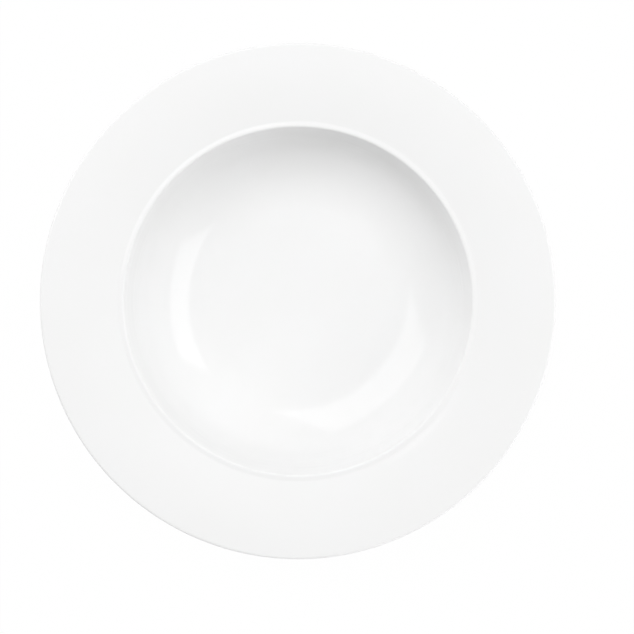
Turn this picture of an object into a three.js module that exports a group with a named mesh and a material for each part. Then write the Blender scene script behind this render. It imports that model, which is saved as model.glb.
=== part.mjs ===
// A rimmed bowl for cereal or soup in white glazed porcelain: a thin clay body on a foot ring,
// a glaze coat that wraps it from the inside floor over the rim and down to the foot, and a
// patch of glaze inside the foot ring. The standing ring between the two glazes is bare clay.
// Millimetres, +Z up, with the origin in the middle of the plane that the foot stands on.
import * as THREE from "three";

// Driving dimensions of the finished bowl, glaze included, in millimetres and degrees.
const RIM_DIAMETER = 230;
const RIM_EDGE_THICKNESS = 2.2;
const RIM_EDGE_RADIUS = 1.05;
const FLANGE_RISE = 4.8; // on top, from the bead round the well to the edge of the rim
const FLANGE_TOP_ARCH = 0.7; // how far the top swells above a straight line
const FLANGE_UNDER_ARCH = 0.95; // how far the underside is hollowed above a straight line
const FLANGE_ROOT_DEPTH = 5.9; // upright, from the flange's inner end to its underside
const FLANGE_ROOT_FILLET = 3;
const WELL_DIAMETER = 156.2;
const WELL_DEPTH = 26.8; // from the flange's inner end down to the floor
const WELL_EDGE_RADIUS = 1.2;
const BEAD_CREST = 1.2; // level width of the raised line round the well, from the well's edge out
const BEAD_SLOPE = 1.3; // width of its outer side, from the crest to the flange
const BEAD_RISE = 0.08; // of its crest above the flange's inner end
const BEAD_FILLET = 2.5;
const WELL_WALL_SLOPE = 68; // inside, degrees above level, from the edge down to the shoulder
const SHOULDER_HEIGHT = 13.6; // over the floor, where the well's wall bends
const SHOULDER_SLOPE = 41.5; // degrees above level, from the shoulder down to the floor
const SHOULDER_RADIUS = 26;
const WELL_FILLET_RADIUS = 38; // inside, between the floor and the slope up to the shoulder
const WALL_SLOPE = 62; // outside, degrees above level
const BELLY_RADIUS = 39; // outside, between the base and the wall
const WALL_THICKNESS = 3; // of the floor, and of the wall across from the well's edge
const FOOT_DIAMETER = 78;
const FOOT_WIDTH = 4;
const FOOT_HEIGHT = 1.9; // from the standing ring up to the underside
const FOOT_EDGE_RADIUS = 0.8;
const FOOT_FILLET = 0.8;
const GLAZE_THICKNESS = 0.25;
const GLAZE_GAP = 0.05; // a hair between the glaze and the clay, which are fused on the bowl
const BARE_MARGIN = 0.3; // bare clay left between the foot's fillets and the glaze

// How finely the round forms are cut into flat faces.
const SEGMENTS = 56; // around the bowl
const CURVE_TOLERANCE = 0.1; // the most that a face may lie inside its arc
const ARCH_STEPS = 4;
const FEWEST_ARC_STEPS = 2; // for the smallest rounding

const WHITE_GLAZE = { color: 0xf4f4f2, roughness: 0.08, metalness: 0 };
const BARE_CLAY = { color: 0xece8e0, roughness: 0.75, metalness: 0 };

// Heights and radii that follow from the driving dimensions.
const floorHeight = FOOT_HEIGHT + WALL_THICKNESS;
const flangeHeight = floorHeight + WELL_DEPTH;
const wellEdgeHeight = flangeHeight + BEAD_RISE;
const rimHeight = flangeHeight + FLANGE_RISE;
const rimRadius = RIM_DIAMETER / 2;
const wellRadius = WELL_DIAMETER / 2;
const footRadius = FOOT_DIAMETER / 2;
const footInnerRadius = footRadius - FOOT_WIDTH;
const wallSlope = THREE.MathUtils.degToRad(WALL_SLOPE);
const wellWallSlope = THREE.MathUtils.degToRad(WELL_WALL_SLOPE);
const shoulderSlope = THREE.MathUtils.degToRad(SHOULDER_SLOPE);
const shoulderHeight = floorHeight + SHOULDER_HEIGHT;
const shoulderRadius = wellRadius - (wellEdgeHeight - shoulderHeight) / Math.tan(wellWallSlope);
const floorRadius = shoulderRadius - SHOULDER_HEIGHT / Math.tan(shoulderSlope);
const coatDepth = GLAZE_THICKNESS + GLAZE_GAP;

// A corner of an outline, with the radius that rounds it.
function corner(r, z, radius = 0) {
  return { point: new THREE.Vector2(r, z), radius };
}

// Corners between two ends on a shallow arch that swells to the left of the way between them.
function arch(start, end, rise) {
  const chord = end.clone().sub(start);
  const left = new THREE.Vector2(-chord.y, chord.x).normalize();
  const corners = [];
  for (let step = 1; step < ARCH_STEPS; step++) {
    const share = step / ARCH_STEPS;
    const swell = 4 * rise * share * (1 - share);
    const point = start.clone().lerp(end, share).addScaledVector(left, swell);
    corners.push({ point, radius: 0 });
  }
  return corners;
}

// Where two lines meet, each given by a point and a direction.
function meeting(pointA, alongA, pointB, alongB) {
  const between = pointB.clone().sub(pointA);
  return pointA.clone().addScaledVector(alongA, between.cross(alongB) / alongA.cross(alongB));
}

// The turn at each corner of an outline, positive to the left.
function turnAt(corners, index) {
  if (index === 0 || index === corners.length - 1) return 0;
  const before = corners[index].point.clone().sub(corners[index - 1].point);
  const after = corners[index + 1].point.clone().sub(corners[index].point);
  return Math.atan2(before.cross(after), before.dot(after));
}

// The points of the arc that rounds one corner, between its two tangent points.
function filletArc(at, before, after, reach, turn) {
  const toBefore = before.clone().sub(at).normalize();
  const toAfter = after.clone().sub(at).normalize();
  const radius = reach / Math.tan(Math.abs(turn) / 2);
  const middle = toBefore.clone().add(toAfter).normalize();
  const centre = at.clone().addScaledVector(middle, Math.hypot(reach, radius));
  const first = at.clone().addScaledVector(toBefore, reach);
  const stepTurn = 2 * Math.acos(Math.max(0, 1 - CURVE_TOLERANCE / radius));
  const steps = Math.max(FEWEST_ARC_STEPS, Math.ceil(Math.abs(turn) / stepTurn));
  const points = [];
  for (let step = 0; step <= steps; step++) {
    points.push(first.clone().rotateAround(centre, (turn * step) / steps));
  }
  return points;
}

// An outline with its corners rounded. Two roundings that would meet share the edge between them.
function rounded(corners) {
  const turns = corners.map((_, index) => turnAt(corners, index));
  const wanted = corners.map(({ radius }, index) => radius * Math.tan(Math.abs(turns[index]) / 2));
  const share = (index) => {
    const length = corners[index].point.distanceTo(corners[index + 1].point);
    return Math.min(1, length / (wanted[index] + wanted[index + 1] || length));
  };
  return corners.flatMap(({ point }, index) => {
    if (wanted[index] === 0) return [point];
    const reach = wanted[index] * Math.min(share(index - 1), share(index));
    return filletArc(point, corners[index - 1].point, corners[index + 1].point, reach, turns[index]);
  });
}

// The outline moved to its right by a distance, each face parallel to where it was.
function inset(points, distance) {
  const normal = (index) => {
    const along = points[index + 1].clone().sub(points[index]).normalize();
    return new THREE.Vector2(along.y, -along.x);
  };
  return points.map((point, index) => {
    const before = normal(Math.max(index - 1, 0));
    const after = normal(Math.min(index, points.length - 2));
    const mitre = before.clone().add(after);
    return point.clone().addScaledVector(mitre, distance / (1 + before.dot(after)));
  });
}

// The outline up to where its last stretch, along the underside, has come in to a radius.
function downTo(points, radius) {
  const last = points.findLastIndex((point) => point.x > radius);
  const outer = points[last];
  const inner = points[last + 1];
  const share = (outer.x - radius) / (outer.x - inner.x);
  return [...points.slice(0, last + 1), outer.clone().lerp(inner, share)];
}

// The two ends of the outside of the wall, where it meets the flange's underside and the base.
function outsideOfWall(rimUnder) {
  const alongWall = new THREE.Vector2(Math.cos(wallSlope), Math.sin(wallSlope));
  const outOfWall = new THREE.Vector2(Math.sin(wallSlope), -Math.cos(wallSlope));
  const wellEdge = new THREE.Vector2(wellRadius, wellEdgeHeight);
  const onWall = wellEdge.clone().addScaledVector(outOfWall, WALL_THICKNESS);
  const underWell = wellEdge.clone().setY(flangeHeight - FLANGE_ROOT_DEPTH);
  const root = meeting(onWall, alongWall, rimUnder, underWell.sub(rimUnder));
  const belly = meeting(onWall, alongWall, new THREE.Vector2(0, FOOT_HEIGHT), new THREE.Vector2(1, 0));
  return { root, belly };
}

// The whole glazed surface in section: from the axis across the floor, up the well, over its
// bead, out over the flange and round its edge, back under it, down the outside and in to the
// axis below.
// The rounding of the belly is limited by the wall that is left under the flange.
function finishedSection() {
  const wellEdge = corner(wellRadius, wellEdgeHeight, WELL_EDGE_RADIUS);
  const beadEdge = corner(wellRadius + BEAD_CREST, wellEdgeHeight, BEAD_FILLET);
  const flangeEnd = corner(beadEdge.point.x + BEAD_SLOPE, flangeHeight, BEAD_FILLET);
  const rimTop = corner(rimRadius, rimHeight, RIM_EDGE_RADIUS);
  const rimUnder = corner(rimRadius, rimHeight - RIM_EDGE_THICKNESS, RIM_EDGE_RADIUS);
  const { root, belly } = outsideOfWall(rimUnder.point);
  const room = root.distanceTo(belly) - FLANGE_ROOT_FILLET;
  const bellyRadius = Math.min(BELLY_RADIUS, room / Math.tan(wallSlope / 2));
  return rounded([
    corner(0, floorHeight),
    corner(floorRadius, floorHeight, WELL_FILLET_RADIUS),
    corner(shoulderRadius, shoulderHeight, SHOULDER_RADIUS),
    wellEdge,
    beadEdge,
    flangeEnd,
    ...arch(flangeEnd.point, rimTop.point, FLANGE_TOP_ARCH),
    rimTop,
    rimUnder,
    ...arch(rimUnder.point, root, -FLANGE_UNDER_ARCH),
    { point: root, radius: FLANGE_ROOT_FILLET },
    { point: belly, radius: bellyRadius },
    corner(0, FOOT_HEIGHT),
  ]);
}

// A closed body turned about the upright axis from its section.
function turned(section) {
  const geometry = new THREE.LatheGeometry(section, SEGMENTS);
  return geometry.rotateX(Math.PI / 2);
}

// The clay body: the finished section less the coat, standing on its foot ring.
function porcelainBody(section) {
  const clay = downTo(inset(section, coatDepth), footRadius);
  const junction = clay.pop();
  const ceiling = FOOT_HEIGHT + coatDepth;
  const foot = rounded([
    corner(clay.at(-1).x, clay.at(-1).y),
    corner(junction.x, junction.y, FOOT_FILLET),
    corner(footRadius, 0, FOOT_EDGE_RADIUS),
    corner(footInnerRadius, 0, FOOT_EDGE_RADIUS),
    corner(footInnerRadius, ceiling, FOOT_FILLET),
    corner(0, ceiling),
  ]);
  return turned([...clay, ...foot.slice(1)].reverse());
}

// The main coat, from the middle of the inside floor round to just above the foot.
function glazeCoat(section) {
  const glazeLine = footRadius + FOOT_FILLET + BARE_MARGIN;
  const outer = downTo(section, glazeLine);
  const inner = downTo(inset(section, GLAZE_THICKNESS), glazeLine);
  return turned([...inner, ...outer.reverse()]);
}

// The patch of glaze on the underside, inside the foot ring.
function baseGlaze() {
  const edge = footInnerRadius - FOOT_FILLET - BARE_MARGIN;
  const top = FOOT_HEIGHT + GLAZE_THICKNESS;
  const patch = [corner(0, FOOT_HEIGHT), corner(edge, FOOT_HEIGHT), corner(edge, top), corner(0, top)];
  return turned(rounded(patch));
}

// One named piece of the bowl.
function piece(name, geometry, look) {
  const mesh = new THREE.Mesh(geometry, new THREE.MeshStandardMaterial(look));
  mesh.name = name;
  return mesh;
}

const section = finishedSection();
const bowl = new THREE.Group();
bowl.add(piece("porcelain_body", porcelainBody(section), BARE_CLAY));
bowl.add(piece("glaze_coat", glazeCoat(section), WHITE_GLAZE));
bowl.add(piece("base_glaze", baseGlaze(), WHITE_GLAZE));

export default bowl;
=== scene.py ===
"""A rimmed bowl in white glazed porcelain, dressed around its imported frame.

The clay body and its two glazes are turned again as fine smooth meshes from the same sizes as
the solids, and get procedural materials: a gloss glaze over white, and the bare clay of the
standing ring. Sections are drawn in millimetres, and everything in the scene is in metres.
"""

import math

import bpy
from mathutils import Matrix, Vector


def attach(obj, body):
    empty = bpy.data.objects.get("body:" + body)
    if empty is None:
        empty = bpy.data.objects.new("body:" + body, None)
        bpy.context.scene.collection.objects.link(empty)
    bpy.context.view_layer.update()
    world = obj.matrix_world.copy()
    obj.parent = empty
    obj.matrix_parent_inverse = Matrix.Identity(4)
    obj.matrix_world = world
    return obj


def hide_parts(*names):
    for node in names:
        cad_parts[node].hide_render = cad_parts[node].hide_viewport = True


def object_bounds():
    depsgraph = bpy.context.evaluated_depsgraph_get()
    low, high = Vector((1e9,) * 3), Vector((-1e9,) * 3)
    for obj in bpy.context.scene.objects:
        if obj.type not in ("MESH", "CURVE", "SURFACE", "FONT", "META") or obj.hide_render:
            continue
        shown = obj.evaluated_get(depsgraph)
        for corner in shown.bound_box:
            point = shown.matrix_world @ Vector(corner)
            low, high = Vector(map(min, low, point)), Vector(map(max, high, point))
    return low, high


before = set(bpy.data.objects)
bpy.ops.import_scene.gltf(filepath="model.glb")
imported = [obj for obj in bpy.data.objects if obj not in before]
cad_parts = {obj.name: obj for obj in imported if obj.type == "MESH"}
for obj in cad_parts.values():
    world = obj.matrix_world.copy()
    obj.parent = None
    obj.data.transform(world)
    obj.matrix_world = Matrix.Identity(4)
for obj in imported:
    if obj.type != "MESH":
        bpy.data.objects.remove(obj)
cad_low, cad_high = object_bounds()

MM = 0.001

# The finished bowl, in millimetres, as its solids have it.
RIM_EDGE_THICKNESS = 2.2
RIM_EDGE_RADIUS = 1.05
FLANGE_RISE = 4.75  # a hair under the solids', so that the fine mesh stays inside their box
FLANGE_TOP_ARCH = 0.7
FLANGE_UNDER_ARCH = 0.95
FLANGE_ROOT_DEPTH = 5.9
FLANGE_ROOT_FILLET = 3
WELL_RADIUS = 78.1
WELL_DEPTH = 26.8
WELL_EDGE_RADIUS = 1.2
BEAD_CREST = 1.2
BEAD_SLOPE = 1.3
BEAD_RISE = 0.08
BEAD_FILLET = 2.5
WELL_WALL_SLOPE = math.radians(68)  # inside, from the edge down to the shoulder
SHOULDER_HEIGHT = 13.6  # over the floor, where the well's wall bends
SHOULDER_SLOPE = math.radians(41.5)
SHOULDER_RADIUS = 26
WELL_FILLET_RADIUS = 38
WALL_SLOPE = math.radians(62)  # outside
BELLY_RADIUS = 39
WALL_THICKNESS = 3
FOOT_RADIUS = 39
FOOT_INNER_RADIUS = 35
FOOT_HEIGHT = 1.9
FOOT_EDGE_RADIUS = 0.8
FOOT_FILLET = 0.8
GLAZE_THICKNESS = 0.25
GLAZE_GAP = 0.05
GLAZE_BEAD_RADIUS = 0.1  # rounds the edge where each glaze stops
BARE_MARGIN = 0.3

RIM_RADIUS = cad_high.x / MM
FLOOR_HEIGHT = FOOT_HEIGHT + WALL_THICKNESS
FLANGE_HEIGHT = FLOOR_HEIGHT + WELL_DEPTH
WELL_EDGE_HEIGHT = FLANGE_HEIGHT + BEAD_RISE
RIM_HEIGHT = FLANGE_HEIGHT + FLANGE_RISE
COAT_DEPTH = GLAZE_THICKNESS + GLAZE_GAP

# How finely the round forms are meshed, in millimetres where it is a length.
SEGMENTS = 192
ARC_TOLERANCE = 0.004
ARCH_STEPS = 20
LONGEST_STRETCH = 4

# The glaze's relief, with depths in metres and noise scales per metre: turning rings, broken
# ones on the wall between two heights, and orange peel.
RING_SCALE = 420
RING_DEPTH = 6e-6
WALL_RING_SPAN = (0.012, 0.031)
WALL_RING_SCALE = 600
WALL_RING_DEPTH = 1.2e-4
PEEL_SCALE = 700
PEEL_DEPTH = 1.2e-6

# The glaze's colour and gloss, which vary in soft clouds that also break up the rings on the wall.
CLOUD_SCALE = 35
RING_PATCHES = (0.42, 0.6)  # the clouds' levels over which the rings on the wall fade in
GLAZE_TINTS = ((0.9, 0.9, 0.895, 1), (0.915, 0.917, 0.92, 1))
GLAZE_ROUGHNESS = (0.05, 0.085)
GLAZE_IOR = 1.5

# The bare clay, with its grain and its faint grey marks.
CLAY_TINTS = ((0.68, 0.65, 0.6, 1), (0.9, 0.87, 0.82, 1))
CLAY_ROUGHNESS = 0.75
GRAIN_SCALE = 3000
GRAIN_DEPTH = 2e-5
MARK_SCALE = 90

# The photograph's frame, in pixels, and a lens for its flat, distant view from straight above.
IMAGE_SIDE_PX = 634
RIM_CENTRE_PX = (298, 301)
RIM_RADIUS_PX = 258.6
LENS_MM = 85
SENSOR_MM = 36

# The studio, with azimuths and tilts in degrees, lengths in metres and powers in watts: the light
# of a white room, two softboxes that show in the curve of the well, and fills that stay out of
# the gloss.
WHITE = (1, 1, 1, 1)
AMBIENT = 0.272
RIGHT_SOFTBOX = {"azimuth": 0, "tilt": 29.06, "distance": 0.993, "size": (0.636, 0.498), "power": 1.4}
BACK_LEFT_SOFTBOX = {
    "azimuth": 132.5, "tilt": 28.2, "distance": 0.956, "size": (0.709, 0.713), "power": 1.77,
}
SOFTBOX_AIM = 0.555  # the height over the bowl that the softboxes face
FILL_DISTANCE = 1.5
FILL_SIZE = (0.7, 0.7)
# The azimuth, tilt and power of each fill.
FILLS = [(90, 30, 5.9), (330, 55, 5.15), (150, 55, 3.95), (0, 78, 3.75), (150, 78, 3.35)]
FRONT_HEIGHT = 0.03  # of a strip in front that lights the outside under the rim
FRONT_AZIMUTH = 292
FRONT_SIZE = (1.6, 0.04)
FRONT_POWER = 4.6
FLOOR_SIDE = 6.0
FLOOR_COLOUR = (0.95, 0.95, 0.95, 1)
SHADOW_FADE = (0.06, 0.118)  # the floor's shadow runs out to white between these distances
SHADOW_SHARE = (0.95, 0.01)  # how much of the shadow is left at each of them
FOOT_SHADOW_FADE = (0.001, 0.011)  # out from the foot, where the floor throws up more and more light
FOOT_SHADOW_SHARE = (0.92, 0.3)


def corner(r, z, rounding=0.0):
    """A corner of an outline, with the radius that rounds it."""
    return Vector((r, z)), rounding


def arch(start, end, rise):
    """Corners between two points on a shallow arch that swells to the left of the way."""
    left = (end - start).orthogonal().normalized()
    shares = [step / ARCH_STEPS for step in range(1, ARCH_STEPS)]
    return [(start.lerp(end, share) + left * (4 * rise * share * (1 - share)), 0.0) for share in shares]


def meeting(point_a, along_a, point_b, along_b):
    """Where two lines meet, each given by a point and a direction."""
    return point_a + along_a * ((point_b - point_a).cross(along_b) / along_a.cross(along_b))


def fillet(before, at, after, radius):
    """The points of the arc that rounds one corner, or the corner where it stays sharp."""
    if radius == 0:
        return [at]
    into = (at - before).normalized()
    out = (after - at).normalized()
    turn = math.atan2(into.cross(out), into.dot(out))
    reach = radius * math.tan(abs(turn) / 2)
    first = at - into * reach
    centre = at + (out - into).normalized() * math.hypot(reach, radius)
    steps = math.ceil(abs(turn) / (2 * math.acos(1 - ARC_TOLERANCE / radius)))
    turns = [Matrix.Rotation(turn * step / steps, 2) for step in range(steps + 1)]
    return [centre + turned_by @ (first - centre) for turned_by in turns]


def rounded(corners):
    """An outline through corners, each rounded by its own radius."""
    points = [corners[0][0]]
    for (before, _), (at, radius), (after, _) in zip(corners, corners[1:], corners[2:]):
        points += fillet(before, at, after, radius)
    return [*points, corners[-1][0]]


def inset(points, distance):
    """The outline moved to its right by a distance, each face parallel to where it was."""
    normals = [-(b - a).orthogonal().normalized() for a, b in zip(points, points[1:])]
    befores = [normals[0], *normals]
    afters = [*normals, normals[-1]]
    return [
        point + (before + after) * (distance / (1 + before.dot(after)))
        for point, before, after in zip(points, befores, afters)
    ]


def down_to(points, radius):
    """The outline up to where its last stretch, along the underside, comes in to a radius."""
    last = max(index for index, point in enumerate(points) if point.x > radius)
    outer, inner = points[last], points[last + 1]
    share = (outer.x - radius) / (outer.x - inner.x)
    return [*points[: last + 1], outer.lerp(inner, share)]


def spaced(points):
    """The outline with points added along its straight stretches."""
    result = [points[0]]
    for start, end in zip(points, points[1:]):
        parts = math.ceil((end - start).length / LONGEST_STRETCH)
        result += [start.lerp(end, part / parts) for part in range(1, parts + 1)]
    return result


def outside_of_wall(rim_under):
    """The two ends of the outside of the wall, where it meets the flange's underside and the base."""
    up_wall = Vector((math.cos(WALL_SLOPE), math.sin(WALL_SLOPE)))
    out_of_wall = Vector((math.sin(WALL_SLOPE), -math.cos(WALL_SLOPE)))
    on_wall = Vector((WELL_RADIUS, WELL_EDGE_HEIGHT)) + out_of_wall * WALL_THICKNESS
    under_well = Vector((WELL_RADIUS, FLANGE_HEIGHT - FLANGE_ROOT_DEPTH))
    root = meeting(on_wall, up_wall, rim_under, under_well - rim_under)
    belly = meeting(on_wall, up_wall, Vector((0, FOOT_HEIGHT)), Vector((1, 0)))
    return root, belly


def finished_outline():
    """The glazed surface in section: over the inside, round the rim and back to the axis below."""
    shoulder_height = FLOOR_HEIGHT + SHOULDER_HEIGHT
    shoulder = WELL_RADIUS - (WELL_EDGE_HEIGHT - shoulder_height) / math.tan(WELL_WALL_SLOPE)
    floor_edge = shoulder - SHOULDER_HEIGHT / math.tan(SHOULDER_SLOPE)
    bead_edge = WELL_RADIUS + BEAD_CREST
    flange_end = Vector((bead_edge + BEAD_SLOPE, FLANGE_HEIGHT))
    rim_top = Vector((RIM_RADIUS, RIM_HEIGHT))
    rim_under = Vector((RIM_RADIUS, RIM_HEIGHT - RIM_EDGE_THICKNESS))
    root, belly = outside_of_wall(rim_under)
    return spaced(rounded([
        corner(0, FLOOR_HEIGHT),
        corner(floor_edge, FLOOR_HEIGHT, WELL_FILLET_RADIUS),
        corner(shoulder, shoulder_height, SHOULDER_RADIUS),
        corner(WELL_RADIUS, WELL_EDGE_HEIGHT, WELL_EDGE_RADIUS),
        corner(bead_edge, WELL_EDGE_HEIGHT, BEAD_FILLET),
        (flange_end, BEAD_FILLET),
        *arch(flange_end, rim_top, FLANGE_TOP_ARCH),
        (rim_top, RIM_EDGE_RADIUS),
        (rim_under, RIM_EDGE_RADIUS),
        *arch(rim_under, root, -FLANGE_UNDER_ARCH),
        (root, FLANGE_ROOT_FILLET),
        (belly, BELLY_RADIUS),
        corner(0, FOOT_HEIGHT),
    ]))


def body_section(outline):
    """The clay body: the finished outline less the coat, standing on its foot ring."""
    clay = down_to(inset(outline, COAT_DEPTH), FOOT_RADIUS)
    ceiling = FOOT_HEIGHT + COAT_DEPTH
    foot = rounded([
        (clay[-2], 0.0),
        (clay[-1], FOOT_FILLET),
        corner(FOOT_RADIUS, 0, FOOT_EDGE_RADIUS),
        corner(FOOT_INNER_RADIUS, 0, FOOT_EDGE_RADIUS),
        corner(FOOT_INNER_RADIUS, ceiling, FOOT_FILLET),
        corner(0, ceiling),
    ])
    return [*clay[:-2], *spaced(foot)][::-1]


def coat_section(outline):
    """The main coat, from the middle of the inside floor round to just above the foot."""
    glaze_line = FOOT_RADIUS + FOOT_FILLET + BARE_MARGIN
    inner = down_to(inset(outline, GLAZE_THICKNESS), glaze_line)
    outer = down_to(outline, glaze_line)[::-1]
    edge = rounded([
        (inner[-2], 0.0),
        (inner[-1], GLAZE_BEAD_RADIUS),
        (outer[0], GLAZE_BEAD_RADIUS),
        (outer[1], 0.0),
    ])
    return [*inner[:-2], *edge, *outer[2:]]


def base_section():
    """The patch of glaze on the underside, inside the foot ring."""
    edge = FOOT_INNER_RADIUS - FOOT_FILLET - BARE_MARGIN
    top = FOOT_HEIGHT + GLAZE_THICKNESS
    return spaced(rounded([
        corner(0, FOOT_HEIGHT),
        corner(edge, FOOT_HEIGHT, GLAZE_BEAD_RADIUS),
        corner(edge, top, GLAZE_BEAD_RADIUS),
        corner(0, top),
    ]))


def turned(name, section):
    """A smooth closed mesh turned about the upright axis from a section that ends on the axis."""
    bottom, *rings, top = section
    angles = [math.tau * step / SEGMENTS for step in range(SEGMENTS)]
    points = [(0, 0, bottom.y)]
    points += [(r * math.cos(a), r * math.sin(a), z) for r, z in rings for a in angles]
    points.append((0, 0, top.y))
    starts = [1 + SEGMENTS * index for index in range(len(rings))]
    faces = []
    for step in range(SEGMENTS):
        after = (step + 1) % SEGMENTS
        faces.append((0, 1 + after, 1 + step))
        faces += [(a + step, a + after, b + after, b + step) for a, b in zip(starts, starts[1:])]
        faces.append((starts[-1] + step, starts[-1] + after, len(points) - 1))
    mesh = bpy.data.meshes.new(name)
    mesh.from_pydata([Vector(point) * MM for point in points], [], faces)
    mesh.shade_smooth()
    mesh.validate()
    piece = bpy.data.objects.new(name, mesh)
    bpy.context.scene.collection.objects.link(piece)
    return piece


def dress(piece, node, look):
    """A piece stands for its node, rides on the bowl and wears its material."""
    piece.data.materials.append(look)
    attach(piece, "root")
    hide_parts(node)


def new_material(name):
    """An empty node material, with its tree and its output."""
    look = bpy.data.materials.new(name)
    look.use_nodes = True
    look.node_tree.nodes.clear()
    output = look.node_tree.nodes.new("ShaderNodeOutputMaterial")
    return look, look.node_tree, output


def add(tree, kind, inputs=None, **settings):
    """A node with its settings, and its inputs set to values or linked from sockets."""
    made = tree.nodes.new(kind)
    for name, value in settings.items():
        setattr(made, name, value)
    for name, value in (inputs or {}).items():
        if isinstance(value, bpy.types.NodeSocket):
            tree.links.new(value, made.inputs[name])
        else:
            made.inputs[name].default_value = value
    return made


def wall_ring_strength(tree, height, clouds):
    """Broken rings on the wall: in patches, strongest halfway between the two heights."""
    patches = add(tree, "ShaderNodeMapRange", {
        "Value": clouds, "From Min": RING_PATCHES[0], "From Max": RING_PATCHES[1],
    })
    rise = add(tree, "ShaderNodeMapRange", {
        "Value": height, "From Min": WALL_RING_SPAN[0], "From Max": WALL_RING_SPAN[1], "To Max": 2,
    })
    on_wall = add(tree, "ShaderNodeMath", {0: rise.outputs[0], 1: 1}, operation="PINGPONG")
    strength = add(tree, "ShaderNodeMath", {
        0: patches.outputs[0], 1: on_wall.outputs[0],
    }, operation="MULTIPLY")
    return strength.outputs[0]


def glaze_normal(tree, place, clouds):
    """The glaze's relief: faint turning rings, broken ones on the wall, and orange peel."""
    height = add(tree, "ShaderNodeSeparateXYZ", {0: place}).outputs["Z"]
    flat = add(tree, "ShaderNodeVectorMath", {0: place, 1: (1, 1, 0)}, operation="MULTIPLY")
    radius = add(tree, "ShaderNodeVectorMath", {0: flat.outputs[0]}, operation="LENGTH").outputs["Value"]
    rings = add(tree, "ShaderNodeTexNoise", {
        "W": radius, "Scale": RING_SCALE, "Detail": 3,
    }, noise_dimensions="1D")
    wall_rings = add(tree, "ShaderNodeTexNoise", {
        "W": height, "Scale": WALL_RING_SCALE, "Detail": 2,
    }, noise_dimensions="1D")
    peel = add(tree, "ShaderNodeTexNoise", {"Vector": place, "Scale": PEEL_SCALE, "Detail": 1})
    ring_bump = add(tree, "ShaderNodeBump", {"Height": rings.outputs[0], "Distance": RING_DEPTH})
    wall_bump = add(tree, "ShaderNodeBump", {
        "Height": wall_rings.outputs[0], "Distance": WALL_RING_DEPTH,
        "Strength": wall_ring_strength(tree, height, clouds), "Normal": ring_bump.outputs[0],
    })
    peel_bump = add(tree, "ShaderNodeBump", {
        "Height": peel.outputs[0], "Distance": PEEL_DEPTH, "Normal": wall_bump.outputs[0],
    })
    return peel_bump.outputs[0]


def white_glaze():
    """Gloss glaze over white clay, a little uneven in tint and gloss."""
    look, tree, output = new_material("white_glaze")
    place = add(tree, "ShaderNodeTexCoord").outputs["Object"]
    noise = add(tree, "ShaderNodeTexNoise", {"Vector": place, "Scale": CLOUD_SCALE, "Detail": 2})
    clouds = noise.outputs[0]
    tint = add(tree, "ShaderNodeMix", {
        "Factor": clouds, "A": GLAZE_TINTS[0], "B": GLAZE_TINTS[1],
    }, data_type="RGBA")
    gloss = add(tree, "ShaderNodeMapRange", {
        "Value": clouds, "To Min": GLAZE_ROUGHNESS[0], "To Max": GLAZE_ROUGHNESS[1],
    })
    shader = add(tree, "ShaderNodeBsdfPrincipled", {
        "Base Color": tint.outputs["Result"], "Roughness": gloss.outputs[0],
        "Normal": glaze_normal(tree, place, clouds), "IOR": GLAZE_IOR,
    })
    tree.links.new(shader.outputs[0], output.inputs["Surface"])
    return look


def bare_clay():
    """Unglazed porcelain: matte, fine grained, with faint grey marks."""
    look, tree, output = new_material("bare_clay")
    place = add(tree, "ShaderNodeTexCoord").outputs["Object"]
    grain = add(tree, "ShaderNodeTexNoise", {"Vector": place, "Scale": GRAIN_SCALE, "Detail": 3})
    marks = add(tree, "ShaderNodeTexNoise", {"Vector": place, "Scale": MARK_SCALE, "Detail": 4})
    bump = add(tree, "ShaderNodeBump", {"Height": grain.outputs[0], "Distance": GRAIN_DEPTH})
    tint = add(tree, "ShaderNodeMix", {
        "Factor": marks.outputs[0], "A": CLAY_TINTS[0], "B": CLAY_TINTS[1],
    }, data_type="RGBA")
    shader = add(tree, "ShaderNodeBsdfPrincipled", {
        "Base Color": tint.outputs["Result"], "Roughness": CLAY_ROUGHNESS, "Normal": bump.outputs[0],
    })
    tree.links.new(shader.outputs[0], output.inputs["Surface"])
    return look


def fade(tree, value, span, shares):
    """A smooth run from one share to another over a span of a value."""
    run = add(tree, "ShaderNodeMapRange", {
        "Value": value, "From Min": span[0], "From Max": span[1], "To Min": shares[0], "To Max": shares[1],
    }, interpolation_type="SMOOTHSTEP")
    return run.outputs[0]


def shadow_share(tree):
    """How much of its shadow the floor keeps, as it is seen and in the light that it throws up."""
    place = add(tree, "ShaderNodeTexCoord").outputs["Object"]
    away = add(tree, "ShaderNodeVectorMath", {0: place}, operation="LENGTH").outputs["Value"]
    foot = FOOT_RADIUS * MM
    seen = fade(tree, away, SHADOW_FADE, SHADOW_SHARE)
    beside_foot = fade(tree, away, [foot + out for out in FOOT_SHADOW_FADE], FOOT_SHADOW_SHARE)
    outside = add(tree, "ShaderNodeMath", {0: away, 1: foot}, operation="GREATER_THAN")
    thrown = add(tree, "ShaderNodeMix", {
        "Factor": outside.outputs[0], "A": FOOT_SHADOW_SHARE[1], "B": beside_foot,
    })
    upward = add(tree, "ShaderNodeLightPath").outputs["Is Diffuse Ray"]
    share = add(tree, "ShaderNodeMix", {"Factor": upward, "A": seen, "B": thrown.outputs[0]})
    return share.outputs[0]


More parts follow.
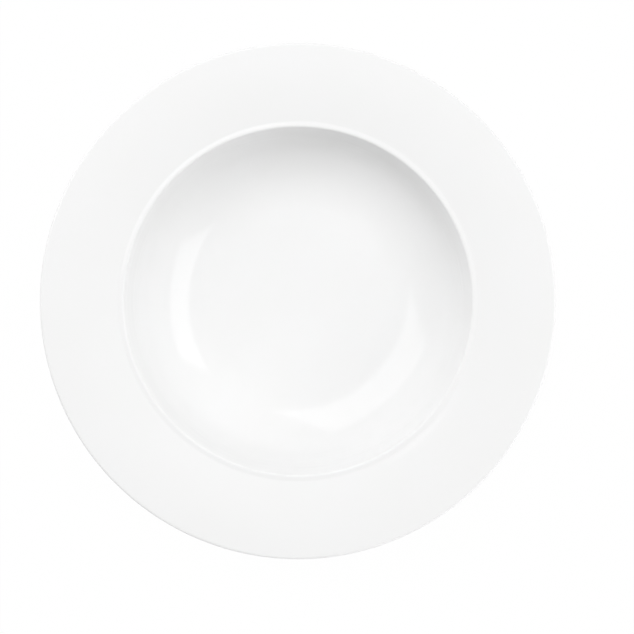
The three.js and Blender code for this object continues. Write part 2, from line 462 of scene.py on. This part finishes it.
def white_floor():
    """A white floor that keeps the shadow under the bowl, runs out to white and is clear from below."""
    look, tree, output = new_material("white_floor")
    glow = add(tree, "ShaderNodeEmission", {"Color": WHITE, "Strength": 1})
    lit = add(tree, "ShaderNodeBsdfDiffuse", {"Color": FLOOR_COLOUR})
    above = add(tree, "ShaderNodeMixShader", {0: shadow_share(tree), 1: glow.outputs[0], 2: lit.outputs[0]})
    below = add(tree, "ShaderNodeNewGeometry").outputs["Backfacing"]
    clear = add(tree, "ShaderNodeBsdfTransparent")
    sides = add(tree, "ShaderNodeMixShader", {0: below, 1: above.outputs[0], 2: clear.outputs[0]})
    tree.links.new(sides.outputs[0], output.inputs["Surface"])
    look.cycles.emission_sampling = "NONE"
    return look


def stage_floor():
    """The floor that the bowl stands on."""
    half = FLOOR_SIDE / 2
    corners = [(-half, -half, 0), (half, -half, 0), (half, half, 0), (-half, half, 0)]
    mesh = bpy.data.meshes.new("floor")
    mesh.from_pydata(corners, [], [(0, 1, 2, 3)])
    mesh.materials.append(white_floor())
    floor = bpy.data.objects.new("floor", mesh)
    bpy.context.scene.collection.objects.link(floor)


def white_room():
    """White to the eye and in the gloss, and an even soft light on the bowl."""
    world = bpy.data.worlds.new("white_room")
    world.use_nodes = True
    world.cycles.sampling_method = "NONE"
    tree = world.node_tree
    tree.nodes.clear()
    rays = add(tree, "ShaderNodeLightPath").outputs
    direct = add(tree, "ShaderNodeMath", {
        0: rays["Is Camera Ray"], 1: rays["Is Transmission Ray"],
    }, operation="MAXIMUM")
    seen = add(tree, "ShaderNodeMath", {0: direct.outputs[0], 1: rays["Is Glossy Ray"]}, operation="MAXIMUM")
    strength = add(tree, "ShaderNodeMix", {"Factor": seen.outputs[0], "A": AMBIENT, "B": 1})
    light = add(tree, "ShaderNodeBackground", {"Color": WHITE, "Strength": strength.outputs[0]})
    output = add(tree, "ShaderNodeOutputWorld", {"Surface": light.outputs[0]})
    output.is_active_output = True
    bpy.context.scene.world = world


def softbox(name, azimuth, tilt, distance, size, power, aim, shows):
    """A lamp at an azimuth and a tilt off the vertical, facing a height on the axis."""
    lamp = bpy.data.lights.new(name, "AREA")
    lamp.shape = "RECTANGLE"
    lamp.size, lamp.size_y = size
    lamp.energy = power
    towards = Vector((
        math.sin(math.radians(tilt)) * math.cos(math.radians(azimuth)),
        math.sin(math.radians(tilt)) * math.sin(math.radians(azimuth)),
        math.cos(math.radians(tilt)),
    ))
    holder = bpy.data.objects.new(name, lamp)
    holder.location = towards * distance
    holder.rotation_euler = (Vector((0, 0, aim)) - holder.location).to_track_quat("-Z", "Y").to_euler()
    holder.visible_camera = False
    holder.visible_glossy = shows
    bpy.context.scene.collection.objects.link(holder)


def lamps():
    """The two softboxes, the fills and the strip in front."""
    softbox("right_softbox", **RIGHT_SOFTBOX, aim=SOFTBOX_AIM, shows=True)
    softbox("back_left_softbox", **BACK_LEFT_SOFTBOX, aim=SOFTBOX_AIM, shows=True)
    for azimuth, tilt, power in FILLS:
        name = f"fill_{azimuth}_{tilt}"
        softbox(name, azimuth, tilt, FILL_DISTANCE, FILL_SIZE, power, aim=0, shows=False)
    front_tilt = math.degrees(math.acos(FRONT_HEIGHT / FILL_DISTANCE))
    softbox(
        "front_strip", FRONT_AZIMUTH, front_tilt, FILL_DISTANCE, FRONT_SIZE, FRONT_POWER,
        aim=FRONT_HEIGHT, shows=False,
    )


def camera():
    """Straight down on the bowl, with its rim where the photograph has it."""
    px_per_m = RIM_RADIUS_PX / cad_high.x
    middle = IMAGE_SIDE_PX / 2
    data = bpy.data.cameras.new("camera")
    data.lens = LENS_MM
    data.sensor_width = SENSOR_MM
    distance = LENS_MM / SENSOR_MM * IMAGE_SIDE_PX / px_per_m
    view = bpy.data.objects.new("camera", data)
    view.location = (
        (middle - RIM_CENTRE_PX[0]) / px_per_m,
        (RIM_CENTRE_PX[1] - middle) / px_per_m,
        cad_high.z + distance,
    )
    bpy.context.scene.collection.objects.link(view)
    bpy.context.scene.camera = view


outline = finished_outline()
glaze = white_glaze()
dress(turned("fine_porcelain_body", body_section(outline)), "porcelain_body", bare_clay())
dress(turned("fine_glaze_coat", coat_section(outline)), "glaze_coat", glaze)
dress(turned("fine_base_glaze", base_section()), "base_glaze", glaze)

stage_floor()
white_room()
lamps()
camera()
bpy.context.scene.view_settings.view_transform = "Standard"
